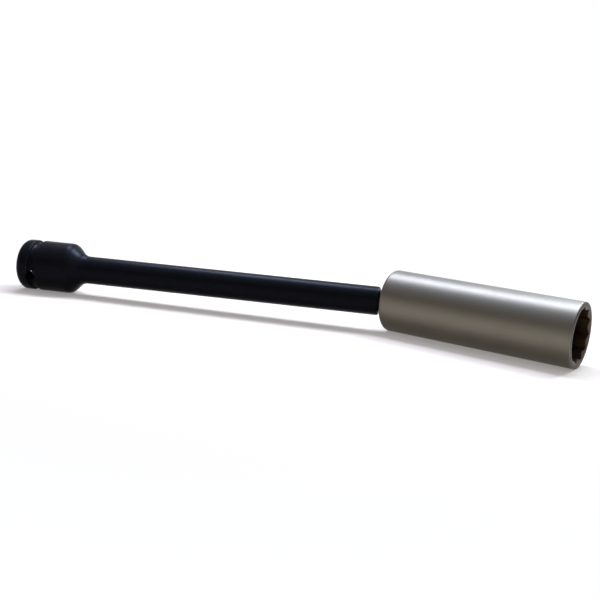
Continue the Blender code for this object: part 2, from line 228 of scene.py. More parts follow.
def cut_away(piece, cutter):
    """Takes the cutter's shape out of the piece's own mesh and deletes the cutter.

    Points that the cut leaves closer together than SAME_POINT become one.
    """
    boolean = piece.modifiers.new("cut", "BOOLEAN")
    boolean.operation = "DIFFERENCE"
    boolean.solver = "EXACT"
    boolean.object = cutter
    whole = piece.evaluated_get(bpy.context.evaluated_depsgraph_get())
    piece.data = bpy.data.meshes.new_from_object(whole)
    piece.modifiers.clear()
    bpy.data.objects.remove(cutter)
    joined = bmesh.new()
    joined.from_mesh(piece.data)
    bmesh.ops.remove_doubles(joined, verts=joined.verts, dist=SAME_POINT)
    joined.to_mesh(piece.data)
    joined.free()


def shaded(piece, crease=CREASE):
    """Smooth shading, with a crease where two faces meet at more than the given angle."""
    piece.data.shade_smooth()
    piece.data.set_sharp_from_angle(angle=crease)


fillet_out = NECK_RADIUS + NECK_FILLET
fillet_along = math.sqrt((BALL_RADIUS + NECK_FILLET) ** 2 - fillet_out**2)
fillet_turn = math.atan2(fillet_along, fillet_out)
turned_rows = filleted(
    [
        (FLAT_END, BAR_END, 0.0),
        (HEAD_RADIUS, BAR_END, HEAD_END_ROUND),
        (HEAD_RADIUS, RING_GROOVE_AT + RING_GROOVE_HALF, EDGE_ROUND),
        (RING_GROOVE_BOTTOM, RING_GROOVE_AT + RING_GROOVE_HALF, RING_GROOVE_ROUND),
        (RING_GROOVE_BOTTOM, RING_GROOVE_AT - RING_GROOVE_HALF, RING_GROOVE_ROUND),
        (HEAD_RADIUS, RING_GROOVE_AT - RING_GROOVE_HALF, EDGE_ROUND),
        (HEAD_RADIUS, SHOULDER_HIGH, SHOULDER_ROUND),
        (SHANK_RADIUS, SHOULDER_LOW, SHOULDER_FILLET),
        (SHANK_RADIUS, SHANK_START + SHANK_TIP_LENGTH, SHANK_TIP_EASE),
        (SHANK_TIP_RADIUS, SHANK_START, SHANK_TIP_ROUND),
        (NECK_RADIUS, SHANK_START, NECK_CORNER),
        (NECK_RADIUS, fillet_along, 0.0),
    ]
)
neck_rows = arc_rows((fillet_out, fillet_along), NECK_FILLET, math.pi, math.pi + fillet_turn, NECK_STEPS)
ball_rows = arc_rows((0.0, 0.0), BALL_RADIUS, fillet_turn, -math.pi / 2.0, BALL_STEPS)
bar_rows = shortened(np.vstack([turned_rows, neck_rows[1:], ball_rows[1:]]))

square = rounded_square(SQUARE_HALF, SQUARE_HALF, SQUARE_CORNER)
square_mouth = rounded_square(SQUARE_HALF + SQUARE_LEAD, SQUARE_HALF + SQUARE_LEAD, SQUARE_CORNER)
floor_share = np.array(SQUARE_FLOOR_SHARES)[:, None]
wall_along = np.linspace(SQUARE_FLOOR, BAR_END - SQUARE_LEAD, SQUARE_ROWS)[1:, None]
face_share = np.linspace(0.0, 1.0, SQUARE_ROWS)[:-1, None]
bar_out = np.vstack(
    [
        floor_share * square,
        np.repeat(square[None], len(wall_along), axis=0),
        (1.0 - face_share) * square_mouth + face_share * FLAT_END,
        np.repeat(bar_rows[:, :1], AROUND, axis=1),
    ]
)
bar_along = np.vstack(
    [0.0 * floor_share + SQUARE_FLOOR, wall_along, 0.0 * face_share + BAR_END, bar_rows[:, 1:2]]
)
bar_edge = np.concatenate([np.zeros(len(bar_out) - len(bar_rows)), bar_rows[:, 2]])
bar_forging = skin("bar_forging", rings(bar_out, bar_along, bar_axes, SQUARE_TURN), bar_edge)


def drill(name, radius, half_length, centre_along, turn):
    """A closed cylinder across the bar: rings about the crosswise direction at the given angle."""
    crosswise = spokes(turn, bar_axes[0], bar_axes[1])
    across_axes = np.array([bar_back, np.cross(crosswise, bar_back), crosswise])
    out = np.array([0.0, radius, radius, 0.0])[:, None]
    along = np.repeat([half_length, -half_length], 2)[:, None]
    return skin(name, rings(out, along, across_axes, columns=DRILL_AROUND) + centre_along * bar_back)


cross_drill = drill(
    "cross_drill", CROSS_HOLE_RADIUS, HEAD_RADIUS * DRILL_REACH, RING_GROOVE_AT, SQUARE_TURN
)
cut_away(bar_forging, cross_drill)
cut_away(bar_forging, drill("pin_drill", PIN_HOLE_RADIUS, BALL_RADIUS * DRILL_REACH, 0.0, PIN_TURN))
shaded(bar_forging)


def linear(hex_colour):
    """An sRGB hex colour in linear light: ((c + 0.055) / 1.055) ** 2.4, or c / 12.92 in the dark."""
    channels = np.array([int(hex_colour[i : i + 2], 16) for i in (1, 3, 5)]) / 255.0
    light = np.where(channels <= 0.04045, channels / 12.92, ((channels + 0.055) / 1.055) ** 2.4)
    return (*light, 1.0)


def add(tree, kind, inputs, **settings):
    """Adds one node to a tree, with its settings, and gives each input a value or a link from a socket."""
    made = tree.nodes.new(kind)
    for setting, value in settings.items():
        setattr(made, setting, value)
    for socket, value in inputs.items():
        if isinstance(value, bpy.types.NodeSocket):
            tree.links.new(value, made.inputs[socket])
        else:
            made.inputs[socket].default_value = value
    return made


def steel_finish(name, axes):
    """A new material, its tree and shader, and the place of a point in a piece's axes about the pivot."""
    finish = bpy.data.materials.new(name)
    finish.use_nodes = True
    tree = finish.node_tree
    seen = add(tree, "ShaderNodeTexCoord", {})
    turned = Matrix(axes.T.tolist()).to_euler()
    place = add(
        tree,
        "ShaderNodeMapping",
        {"Vector": seen.outputs["Object"], "Location": PIVOT, "Rotation": turned},
        vector_type="TEXTURE",
    )
    return finish, tree, tree.nodes["Principled BSDF"], place.outputs["Vector"]


# Phosphate grows as fine crystals that hold oil, so it is a soft blue-black with a dull sheen, a little
# cloudy, with the lathe's rings still faintly there and greyer steel where corners have rubbed.
PHOSPHATE_DARK = "#0e0e11"
PHOSPHATE_CLOUD = "#151519"
PHOSPHATE_DULLNESS = {"To Min": 0.3, "To Max": 0.38}
PHOSPHATE_RELIEF = {"Strength": 0.25, "Distance": 0.04 * MM}
RUBBED_STEEL = "#45474b"
RUB_SPAN = {"From Min": 0.35, "From Max": 0.8, "To Max": 0.6}
OIL_SHEEN = "#c6d3ea"
OIL_SHEEN_LEVEL = 0.05
CLOUD_NOISE = {"Scale": 1.0 / (5.0 * MM), "Detail": 4.0}
CRYSTAL_NOISE = {"Scale": 1.0 / (0.5 * MM), "Detail": 2.0}  # real crystals are far finer and would not show
LATHE_NOISE = {"Scale": 1.0 / (0.8 * MM), "Detail": 1.0}  # real rings are finer and would not show
LATHE_STRETCH = (0.01, 0.01, 1.0)
NOISE_SPAN = {"From Min": 0.3, "From Max": 0.7}  # the values that a noise seldom leaves
MIX_SHARE, MIX_FIRST, MIX_SECOND, MIX_RESULT = 0, 6, 7, 2  # the sockets for colours on a Mix node

black_phosphate, tree, shader, place = steel_finish("black_phosphated_steel", bar_axes)
cloud = add(tree, "ShaderNodeTexNoise", {"Vector": place, **CLOUD_NOISE})
crystal = add(tree, "ShaderNodeTexNoise", {"Vector": place, **CRYSTAL_NOISE})
lengthwise = add(tree, "ShaderNodeVectorMath", {0: place, 1: LATHE_STRETCH}, operation="MULTIPLY")
lathe_ring = add(tree, "ShaderNodeTexNoise", {"Vector": lengthwise.outputs[0], **LATHE_NOISE})
worn = add(tree, "ShaderNodeAttribute", {}, attribute_name="edge")
worn_patch = add(
    tree, "ShaderNodeMath", {0: worn.outputs["Fac"], 1: cloud.outputs[0]}, operation="MULTIPLY"
)
rub = add(tree, "ShaderNodeMapRange", {"Value": worn_patch.outputs[0], **RUB_SPAN})
clouded = add(
    tree,
    "ShaderNodeMix",
    {MIX_SHARE: cloud.outputs[0], MIX_FIRST: linear(PHOSPHATE_DARK), MIX_SECOND: linear(PHOSPHATE_CLOUD)},
    data_type="RGBA",
)
rub_and_face_shade = add(
    tree,
    "ShaderNodeMix",
    {MIX_SHARE: rub.outputs[0], MIX_FIRST: clouded.outputs[MIX_RESULT], MIX_SECOND: linear(RUBBED_STEEL)},
    data_type="RGBA",
)
dullness = add(
    tree, "ShaderNodeMapRange", {"Value": cloud.outputs[0], **NOISE_SPAN, **PHOSPHATE_DULLNESS}
)
rough = add(tree, "ShaderNodeMath", {0: crystal.outputs[0], 1: lathe_ring.outputs[0]}, operation="ADD")
relief = add(tree, "ShaderNodeBump", {"Height": rough.outputs[0], **PHOSPHATE_RELIEF})
tree.links.new(rub_and_face_shade.outputs[MIX_RESULT], shader.inputs["Base Color"])
tree.links.new(rub.outputs[0], shader.inputs["Metallic"])
tree.links.new(dullness.outputs[0], shader.inputs["Roughness"])
tree.links.new(relief.outputs[0], shader.inputs["Normal"])
shader.inputs["Specular IOR Level"].default_value = OIL_SHEEN_LEVEL
shader.inputs["Specular Tint"].default_value = linear(OIL_SHEEN)
bar_forging.data.materials.append(black_phosphate)

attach(bar_forging, "bar")
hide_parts("drive_bar")


# Swivel pin: a hardened dowel pushed through the ball. Its ends stand out into two grooves in the socket,
# and carry the turning force. It is centreless ground and oiled.
PIN_RADIUS = 2.5 * MM
PIN_HALF = 12.3 * MM
PIN_CHAMFER = 0.5 * MM
PIN_EDGE = 0.1 * MM
PIN_AROUND = 64

pin_axis = unit(joints["swing_about_pin"]["axis"])
pin_side = unit(np.cross(bar_back, pin_axis))
pin_axes = np.array([pin_side, np.cross(pin_axis, pin_side), pin_axis])
pin_rows = shortened(
    filleted(
        [
            (0.0, PIN_HALF, 0.0),
            (PIN_RADIUS - PIN_CHAMFER, PIN_HALF, PIN_EDGE),
            (PIN_RADIUS, PIN_HALF - PIN_CHAMFER, PIN_EDGE),
            (PIN_RADIUS, PIN_CHAMFER - PIN_HALF, PIN_EDGE),
            (PIN_RADIUS - PIN_CHAMFER, -PIN_HALF, PIN_EDGE),
            (0.0, -PIN_HALF, 0.0),
        ]
    )
)
swivel_pin = skin("swivel_pin", rings(pin_rows[:, :1], pin_rows[:, 1:2], pin_axes, columns=PIN_AROUND))
shaded(swivel_pin)

# Ground steel is bright and even, with fine scratches round the pin and a thin brown tint of oil.
GROUND_STEEL = "#a3a2a0"
OILED_STEEL = "#77726a"
GROUND_DULLNESS = {"To Min": 0.22, "To Max": 0.36}
SCRATCH_NOISE = {"Scale": 1.0 / (0.3 * MM), "Detail": 3.0}  # real scratches are finer and would not show
SCRATCH_STRETCH = (0.03, 0.03, 1.0)
OIL_NOISE = {"Scale": 1.0 / (5.0 * MM), "Detail": 3.0}
FINE_RELIEF = {"Strength": 0.2, "Distance": 0.02 * MM}

ground_steel, tree, shader, place = steel_finish("ground_hardened_steel", pin_axes)
lengthwise = add(tree, "ShaderNodeVectorMath", {0: place, 1: SCRATCH_STRETCH}, operation="MULTIPLY")
scratch = add(tree, "ShaderNodeTexNoise", {"Vector": lengthwise.outputs[0], **SCRATCH_NOISE})
oil = add(tree, "ShaderNodeTexNoise", {"Vector": place, **OIL_NOISE})
oiled = add(
    tree,
    "ShaderNodeMix",
    {MIX_SHARE: oil.outputs[0], MIX_FIRST: linear(GROUND_STEEL), MIX_SECOND: linear(OILED_STEEL)},
    data_type="RGBA",
)
dullness = add(
    tree, "ShaderNodeMapRange", {"Value": scratch.outputs[0], **NOISE_SPAN, **GROUND_DULLNESS}
)
relief = add(tree, "ShaderNodeBump", {"Height": scratch.outputs[0], **FINE_RELIEF})
tree.links.new(oiled.outputs[MIX_RESULT], shader.inputs["Base Color"])
tree.links.new(dullness.outputs[0], shader.inputs["Roughness"])
tree.links.new(relief.outputs[0], shader.inputs["Normal"])
shader.inputs["Metallic"].default_value = 1.0
swivel_pin.data.materials.append(ground_steel)

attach(swivel_pin, "pin")
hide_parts("drive_pin")


# Lug socket: a deep steel sleeve, turned inside and out, with twelve points broached into its open end and
# two grooves for the pin in its swivel end. The outside is plated with satin nickel, which stops at the
# holes.
NUT_FLATS = 22.2 * MM
POINT_TURN = math.radians(26.5)
GRIP_DEPTH = 28.0 * MM
GRIP_ROWS = 7
MOUTH_RADIUS = 13.02 * MM
MOUTH_SLOPE = math.tan(math.radians(30.0))
LEAD_ROWS = 5
STUD_RADIUS = 10.4 * MM
STUD_FLOOR_ROUND = 1.0 * MM
SOCKET_RADIUS = 14.997 * MM
SOCKET_FRONT = 77.566 * MM
SOCKET_REAR = -15.434 * MM
FRONT_CHAMFER = 0.4 * MM
REAR_ROUND = 1.8 * MM
REAR_MOUTH = 12.9 * MM
SWIVEL_BORE = 11.3 * MM
FLARE_START = -11.744 * MM
RING_SLOT_REAR = -7.728 * MM
RING_SLOT_FRONT = -5.928 * MM
RING_SLOT_RADIUS = 12.4 * MM
GUIDE_RADIUS = 7.3 * MM
GUIDE_START = 9.015 * MM
WALL_REAR = 25.467 * MM
WALL_FRONT = 29.467 * MM
GROOVE_HALF_LENGTH = 12.75 * MM
GROOVE_HALF_WIDTH = 2.8 * MM
GROOVE_CORNER = 0.5 * MM
GROOVE_END = 6.228 * MM
FINE_ROUND = 0.12 * MM
SOCKET_AROUND = 240
SOCKET_CREASE = math.radians(20.0)

socket_front = unit(mounts["socket_rim"]["axis"])
socket_side = np.array([0.0, 1.0, 0.0])
socket_axes = np.array([np.cross(socket_side, socket_front), socket_side, socket_front])


def twelve_points(flats, columns):
    """Distance from the centre to a twelve-point hole at each angle round it, with a point at angle 0.

    It is the larger of two hexagons a twelfth of a turn apart: half the flats over the cosine of the angle
    to the nearest flat.
    """
    sixth = math.pi / 3.0
    from_point = full_turn(columns) + np.array([[0.0], [sixth / 2.0]])
    to_flat = np.mod(from_point, sixth) - sixth / 2.0
    return np.max(flats / 2.0 / np.cos(to_flat), axis=0)


points = twelve_points(NUT_FLATS, SOCKET_AROUND)
lead_depth = (MOUTH_RADIUS - points) * MOUTH_SLOPE
lead_end = MOUTH_RADIUS - FINE_ROUND
lead_rest = FINE_ROUND * MOUTH_SLOPE
grip_share = np.linspace(0.0, 1.0, GRIP_ROWS)[:, None]
lead_share = np.linspace(0.0, 1.0, LEAD_ROWS)[1:, None]
grip_start = SOCKET_FRONT - GRIP_DEPTH
stud_rows = shortened(
    filleted(
        [
            (0.0, WALL_FRONT, 0.0),
            (STUD_RADIUS, WALL_FRONT, STUD_FLOOR_ROUND),
            (STUD_RADIUS, grip_start, 0.0),
        ]
    )
)
outer_rows = shortened(
    filleted(
        [
            (lead_end, SOCKET_FRONT - lead_rest, 0.0),
            (MOUTH_RADIUS, SOCKET_FRONT, FINE_ROUND),
            (SOCKET_RADIUS - FRONT_CHAMFER, SOCKET_FRONT, FINE_ROUND),
            (SOCKET_RADIUS, SOCKET_FRONT - FRONT_CHAMFER, FINE_ROUND),
            (SOCKET_RADIUS, SOCKET_REAR, REAR_ROUND),
            (REAR_MOUTH, SOCKET_REAR, FINE_ROUND),
            (SWIVEL_BORE, FLARE_START, FINE_ROUND),
            (SWIVEL_BORE, RING_SLOT_REAR, FINE_ROUND),
            (RING_SLOT_RADIUS, RING_SLOT_REAR, FINE_ROUND),
            (RING_SLOT_RADIUS, RING_SLOT_FRONT, FINE_ROUND),
            (SWIVEL_BORE, RING_SLOT_FRONT, FINE_ROUND),
            (SWIVEL_BORE, GUIDE_START, FINE_ROUND),
            (GUIDE_RADIUS, GUIDE_START, FINE_ROUND),
            (GUIDE_RADIUS, WALL_REAR, FINE_ROUND),
            (0.0, WALL_REAR, 0.0),
        ]
    )
)
whole_ring = np.ones(SOCKET_AROUND)
socket_out = np.vstack(
    [
        stud_rows[:, :1] * whole_ring,
        points + 0.0 * grip_share,
        points + lead_share * (lead_end - points),
        outer_rows[1:, :1] * whole_ring,
    ]
)
socket_along = np.vstack(
    [
        stud_rows[:, 1:2] * whole_ring,
        grip_start + grip_share * (SOCKET_FRONT - lead_depth - grip_start),
        SOCKET_FRONT - lead_depth + lead_share * (lead_depth - lead_rest),
        outer_rows[1:, 1:2] * whole_ring,
    ]
)
lug_socket = skin(
    "lug_socket", rings(socket_out, socket_along, socket_axes, POINT_TURN, columns=SOCKET_AROUND)
)

groove_axis = unit(np.cross(joints["rock_along_grooves"]["axis"], socket_front))
groove_axes = np.array([groove_axis, np.cross(socket_front, groove_axis), socket_front])
groove_section = rounded_square(GROOVE_HALF_LENGTH, GROOVE_HALF_WIDTH, GROOVE_CORNER)
groove_out = np.array([0.0, 1.0, 1.0, 0.0])[:, None] * groove_section
groove_along = np.repeat([GROOVE_END, SOCKET_REAR - REAR_ROUND], 2)[:, None]
cut_away(lug_socket, skin("groove_mill", rings(groove_out, groove_along, groove_axes)))
shaded(lug_socket, SOCKET_CREASE)

# Satin nickel is a warm grey metal with a blasted, even haze: broad soft reflections, a fine grain and no
# mirror. The front face is painted dark as painted shade, so that it does not catch a bright reflection.
# Inside, the bare broached steel is brown with oil and burnt dark by hardening.
NICKEL = "#767166"
NICKEL_CLOUD = "#6d685d"
NICKEL_DULLNESS = {"To Min": 0.4, "To Max": 0.47}
NICKEL_RELIEF = {"Strength": 0.15, "Distance": 0.02 * MM}
HAZE_NOISE = {"Scale": 1.0 / (14.0 * MM), "Detail": 3.0}
BLAST_NOISE = {"Scale": 1.0 / (0.45 * MM), "Detail": 2.0}  # real pits of about 0.05 mm would not show
OILED_BORE = "#5a4836"
PLATING_REACH = {"From Min": 0.02 * MM, "From Max": 0.2 * MM}
HOLE_EDGE = {"From Min": 13.1 * MM, "From Max": 12.9 * MM}  # 0 outside the hole and 1 within
# Painted shade: a dark colour on the front face, strongest at the face itself, so that the face reads as
# shaded.
FACE_PAINTED_SHADE = "#26231f"
FACE_SHADE_DEPTH = {"From Min": 0.12 * MM, "From Max": 0.03 * MM, "To Max": 0.9}  # most at the face itself
CROSSWISE = (1.0, 1.0, 0.0)

satin_nickel, tree, shader, place = steel_finish("satin_nickel_plated_steel", socket_axes)
along = add(tree, "ShaderNodeSeparateXYZ", {0: place})
crosswise = add(tree, "ShaderNodeVectorMath", {0: place, 1: CROSSWISE}, operation="MULTIPLY")
out = add(tree, "ShaderNodeVectorMath", {0: crosswise.outputs[0]}, operation="LENGTH")
from_front = add(
    tree, "ShaderNodeMath", {0: SOCKET_FRONT, 1: along.outputs["Z"]}, operation="SUBTRACT"
)
from_rear = add(tree, "ShaderNodeMath", {0: along.outputs["Z"], 1: SOCKET_REAR}, operation="SUBTRACT")
depth = add(
    tree, "ShaderNodeMath", {0: from_front.outputs[0], 1: from_rear.outputs[0]}, operation="MINIMUM"
)
deep = add(
    tree,
    "ShaderNodeMapRange",
    {"Value": depth.outputs[0], **PLATING_REACH},
    interpolation_type="SMOOTHSTEP",
)
in_hole = add(tree, "ShaderNodeMapRange", {"Value": out.outputs["Value"], **HOLE_EDGE})
bare = add(tree, "ShaderNodeMath", {0: deep.outputs[0], 1: in_hole.outputs[0]}, operation="MULTIPLY")
cloud = add(tree, "ShaderNodeTexNoise", {"Vector": place, **HAZE_NOISE})
grain = add(tree, "ShaderNodeTexNoise", {"Vector": place, **BLAST_NOISE})
lengthwise = add(tree, "ShaderNodeVectorMath", {0: place, 1: LATHE_STRETCH}, operation="MULTIPLY")
lathe_ring = add(tree, "ShaderNodeTexNoise", {"Vector": lengthwise.outputs[0], **LATHE_NOISE})
clouded = add(
    tree,
    "ShaderNodeMix",
    {MIX_SHARE: cloud.outputs[0], MIX_FIRST: linear(NICKEL), MIX_SECOND: linear(NICKEL_CLOUD)},
    data_type="RGBA",
)
plated = add(
    tree,
    "ShaderNodeMix",
    {MIX_SHARE: bare.outputs[0], MIX_FIRST: clouded.outputs[MIX_RESULT], MIX_SECOND: linear(OILED_BORE)},
    data_type="RGBA",
)
# Painted shade: the base colour turns dark over the front face. On the bar, the same variable holds the
# real rubbed wear.
front_face_shade = add(tree, "ShaderNodeMapRange", {"Value": from_front.outputs[0], **FACE_SHADE_DEPTH})
rub_and_face_shade = add(
    tree,
    "ShaderNodeMix",
    {
        MIX_SHARE: front_face_shade.outputs[0],
        MIX_FIRST: plated.outputs[MIX_RESULT],
        MIX_SECOND: linear(FACE_PAINTED_SHADE),
    },
    data_type="RGBA",
)
dullness = add(
    tree, "ShaderNodeMapRange", {"Value": grain.outputs[0], **NOISE_SPAN, **NICKEL_DULLNESS}
)
rough = add(tree, "ShaderNodeMath", {0: grain.outputs[0], 1: lathe_ring.outputs[0]}, operation="ADD")
relief = add(tree, "ShaderNodeBump", {"Height": rough.outputs[0], **NICKEL_RELIEF})
tree.links.new(rub_and_face_shade.outputs[MIX_RESULT], shader.inputs["Base Color"])
tree.links.new(dullness.outputs[0], shader.inputs["Roughness"])
tree.links.new(relief.outputs[0], shader.inputs["Normal"])
shader.inputs["Metallic"].default_value = 1.0
lug_socket.data.materials.append(satin_nickel)

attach(lug_socket, "lug_socket")
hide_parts("socket")


# Snap ring: a flat open ring of spring steel that springs out into its slot behind the ball and keeps it in
# the socket. It is stamped from strip, tempered blue-grey and oiled.
RING_INNER = 9.425 * MM
RING_OUTER = 12.1 * MM
RING_FRONT = -6.228 * MM
RING_THICKNESS = 1.2 * MM
RING_OPENING = 6.0 * MM
RING_EDGE = 0.15 * MM
RING_STEPS = 160
RING_AROUND = 48


def capped(marks):
    """Marks along a bar with the first and the last one doubled, and the share of its section at each.

    The share is 1, but 0 at the two doubled ends, where the section closes to a point.
    """
    share = np.concatenate([[0.0], np.ones(len(marks)), [0.0]])
    return np.concatenate([marks[:1], marks, marks[-1:]]), share[:, None]


ring_middle = (RING_INNER + RING_OUTER) / 2.0
opening_half = math.asin(RING_OPENING / 2.0 / ring_middle)
sweep, section_share = capped(np.linspace(opening_half, 2.0 * math.pi - opening_half, RING_STEPS))
section_angle = full_turn(RING_AROUND)
section = section_share * rounded_square(
    (RING_OUTER - RING_INNER) / 2.0, RING_THICKNESS / 2.0, RING_EDGE, RING_AROUND
)
ring_out = ring_middle + section * np.cos(section_angle)
ring_along = RING_FRONT - RING_THICKNESS / 2.0 + section * np.sin(section_angle)
opening_axis = np.cross(socket_front, groove_axis)
ring_spoke = spokes(sweep, opening_axis, np.cross(socket_front, opening_axis))
snap_ring = skin(
    "snap_ring",
    PIVOT + ring_along[..., None] * socket_front + ring_out[..., None] * ring_spoke[:, None],
)
shaded(snap_ring)

# Tempered spring steel is a dark blue-grey metal with a cloudy film of oil.
TEMPERED_STEEL = "#6d7077"
TEMPERED_CLOUD = "#57564f"
TEMPERED_DULLNESS = {"To Min": 0.28, "To Max": 0.42}
STRIP_NOISE = {"Scale": 1.0 / (0.3 * MM), "Detail": 2.0}  # real roll marks are finer and would not show

tempered_steel, tree, shader, place = steel_finish("tempered_spring_steel", socket_axes)
cloud = add(tree, "ShaderNodeTexNoise", {"Vector": place, **CLOUD_NOISE})
grain = add(tree, "ShaderNodeTexNoise", {"Vector": place, **STRIP_NOISE})
clouded = add(
    tree,
    "ShaderNodeMix",
    {MIX_SHARE: cloud.outputs[0], MIX_FIRST: linear(TEMPERED_STEEL), MIX_SECOND: linear(TEMPERED_CLOUD)},
    data_type="RGBA",
)
dullness = add(
    tree, "ShaderNodeMapRange", {"Value": cloud.outputs[0], **NOISE_SPAN, **TEMPERED_DULLNESS}
)
relief = add(tree, "ShaderNodeBump", {"Height": grain.outputs[0], **FINE_RELIEF})
tree.links.new(clouded.outputs[MIX_RESULT], shader.inputs["Base Color"])
tree.links.new(dullness.outputs[0], shader.inputs["Roughness"])
tree.links.new(relief.outputs[0], shader.inputs["Normal"])
shader.inputs["Metallic"].default_value = 1.0
snap_ring.data.materials.append(tempered_steel)

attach(snap_ring, "lug_socket")
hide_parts("retaining_ring")


# Seat button: a hardened cup that the spring presses on the ball, so that the joint stays where it is put.
# Its hollow face is ground to the ball, and its nub keeps the spring in the middle. It has the pin's
# finish.
SEAT_RADIUS = 7.0 * MM
SEAT_RIM = 8.871 * MM
SEAT_BACK = 13.871 * MM
SEAT_FACE = 11.3 * MM
SEAT_CORNER = 0.24 * MM
SEAT_STEPS = 12
SEAT_AROUND = 96
NUB_RADIUS = 3.7 * MM
NUB_END = 16.371 * MM

seat_rows = np.vstack(
    [
        filleted(
            [
                (0.0, NUB_END, 0.0),
                (NUB_RADIUS, NUB_END, SEAT_CORNER),
                (NUB_RADIUS, SEAT_BACK, FINE_ROUND),
                (SEAT_RADIUS, SEAT_BACK, SEAT_CORNER),
                (SEAT_RADIUS, SEAT_RIM, 0.0),
            ]
        ),
        arc_rows((0.0, 0.0), SEAT_FACE, math.asin(SEAT_RIM / SEAT_FACE), math.pi / 2.0, SEAT_STEPS)[1:],
    ]
)
seat_button = skin(
    "seat_button", rings(seat_rows[:, :1], seat_rows[:, 1:2], socket_axes, columns=SEAT_AROUND)
)
shaded(seat_button)
seat_button.data.materials.append(ground_steel)

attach(seat_button, "lug_socket")
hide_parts("spring_seat")


# Coil spring: hard-drawn wire wound in four turns, between the seat button and the wall across the socket.
# It is coiled cold and tempered like the snap ring, and goes in under a light load.
WIRE_RADIUS = 0.9 * MM
WIRE_AROUND = 20
COIL_RADIUS = 5.2 * MM
COIL_START = 15.071 * MM
COIL_RISE = 9.2 * MM
COIL_TURNS = 4
COIL_ANGLE = 2.0 * math.pi * COIL_TURNS
COIL_STEPS = 160

share, wire_share = capped(np.linspace(0.0, 1.0, COIL_STEPS))
outward = spokes(COIL_ANGLE * share, socket_axes[0], socket_axes[1])
onward = spokes(COIL_ANGLE * share, socket_axes[1], -socket_axes[0])
slope = COIL_RISE / (COIL_ANGLE * COIL_RADIUS)
upward = (socket_front - slope * onward) / math.hypot(1.0, slope)
wire = spokes(full_turn(WIRE_AROUND), outward[:, None], upward[:, None])
path = PIVOT + COIL_RADIUS * outward + (COIL_START + COIL_RISE * share)[:, None] * socket_front
coil_spring = skin("coil_spring", path[:, None] + WIRE_RADIUS * wire_share[..., None] * wire)
shaded(coil_spring)
coil_spring.data.materials.append(tempered_steel)

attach(coil_spring, "lug_socket")
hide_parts("friction_spring")


# Studio: a sheet of white paper for the floor, which curves up into a low wall all round and a higher one
# behind. The room has warm, dim sides and a cool, pale ceiling. A long soft lamp hangs overhead, and a
# small one behind on the right.
FLOOR_RADIUS = 4.0
FLOOR_FLAT = 0.5
FLOOR_CURVE = 0.6
FLOOR_AROUND = 96
WALL_LOW = 0.75
WALL_HIGH = 2.5
WALL_HIGH_TURN = math.radians(108.0)
WALL_STEEPNESS = 3

floor_rows = np.vstack(
    [
        [(0.0, 0.0, 0.0)],
        filleted([(FLOOR_FLAT, 0.0, 0.0), (FLOOR_RADIUS, 0.0, FLOOR_CURVE), (FLOOR_RADIUS, WALL_LOW, 0.0)]),
    ]
)
floor_turn = full_turn(FLOOR_AROUND)
east, north, up = np.eye(3)
floor_points = floor_rows[:, :1, None] * spokes(floor_turn, east, north) + floor_rows[:, 1:2, None] * up
wall_share = (0.5 + 0.5 * np.cos(floor_turn - WALL_HIGH_TURN)) ** WALL_STEEPNESS
floor_points[-1, :, 2] += (WALL_HIGH - WALL_LOW) * wall_share
floor_index = np.arange(floor_points[..., 0].size).reshape(floor_points.shape[:2])
floor_beside = np.roll(floor_index, -1, axis=1)
floor_faces = np.stack([floor_index[:-1], floor_index[1:], floor_beside[1:], floor_beside[:-1]], axis=-1)
floor_mesh = bpy.data.meshes.new("studio_floor")
floor_mesh.from_pydata(floor_points.reshape(-1, 3).tolist(), [], floor_faces.reshape(-1, 4).tolist())
floor_mesh.shade_smooth()
studio_floor = bpy.data.objects.new("studio_floor", floor_mesh)
bpy.context.scene.collection.objects.link(studio_floor)

# White paper: matt near the tool, where it keeps the shadow, and full white further out and up the wall,
# where the camera or a reflection sees it.
FLOOR_COLOUR = "#bfb4a6"
FLOOR_LIFT = 0.25
FLOOR_NEAR = {"From Min": 0.13, "From Max": 0.27}
BACKDROP_COLOUR = "#fafcff"
BACKDROP_GLOW = 1.05

white_paper = bpy.data.materials.new("white_studio_paper")
white_paper.use_nodes = True
tree = white_paper.node_tree
tree.nodes.remove(tree.nodes["Principled BSDF"])
ray = add(tree, "ShaderNodeLightPath", {})
mirrored = add(
    tree,
    "ShaderNodeMath",
    {0: ray.outputs["Is Glossy Ray"], 1: ray.outputs["Is Transmission Ray"]},
    operation="MAXIMUM",
)
seen = add(
    tree, "ShaderNodeMath", {0: ray.outputs["Is Camera Ray"], 1: mirrored.outputs[0]}, operation="MAXIMUM"
)
lift = add(tree, "ShaderNodeMath", {0: seen.outputs[0], 1: FLOOR_LIFT}, operation="MULTIPLY")
lifted = add(tree, "ShaderNodeEmission", {"Strength": lift.outputs[0]})
paper = add(tree, "ShaderNodeBsdfDiffuse", {"Color": linear(FLOOR_COLOUR)})
near_floor = add(tree, "ShaderNodeAddShader", {0: paper.outputs[0], 1: lifted.outputs[0]})
glow = add(tree, "ShaderNodeMath", {0: seen.outputs[0], 1: BACKDROP_GLOW}, operation="MULTIPLY")
backdrop = add(
    tree, "ShaderNodeEmission", {"Color": linear(BACKDROP_COLOUR), "Strength": glow.outputs[0]}
)
floor_place = add(tree, "ShaderNodeTexCoord", {})
distance = add(tree, "ShaderNodeVectorMath", {0: floor_place.outputs["Object"]}, operation="LENGTH")
far = add(
    tree,
    "ShaderNodeMapRange",
    {"Value": distance.outputs["Value"], **FLOOR_NEAR},
    interpolation_type="SMOOTHSTEP",
)
both = add(
    tree, "ShaderNodeMixShader", {0: far.outputs[0], 1: near_floor.outputs[0], 2: backdrop.outputs[0]}
)
tree.links.new(both.outputs[0], tree.nodes["Material Output"].inputs["Surface"])
floor_mesh.materials.append(white_paper)

# The room's sides give warm, weak light, and its ceiling cooler and stronger light from above.
ROOM_COLOUR = "#ffeccf"
ROOM_STRENGTH = 0.3
CEILING_COLOUR = "#dce6ff"
CEILING_STRENGTH = 0.8
CEILING_EDGE = {"From Min": 0.4, "From Max": 0.9}

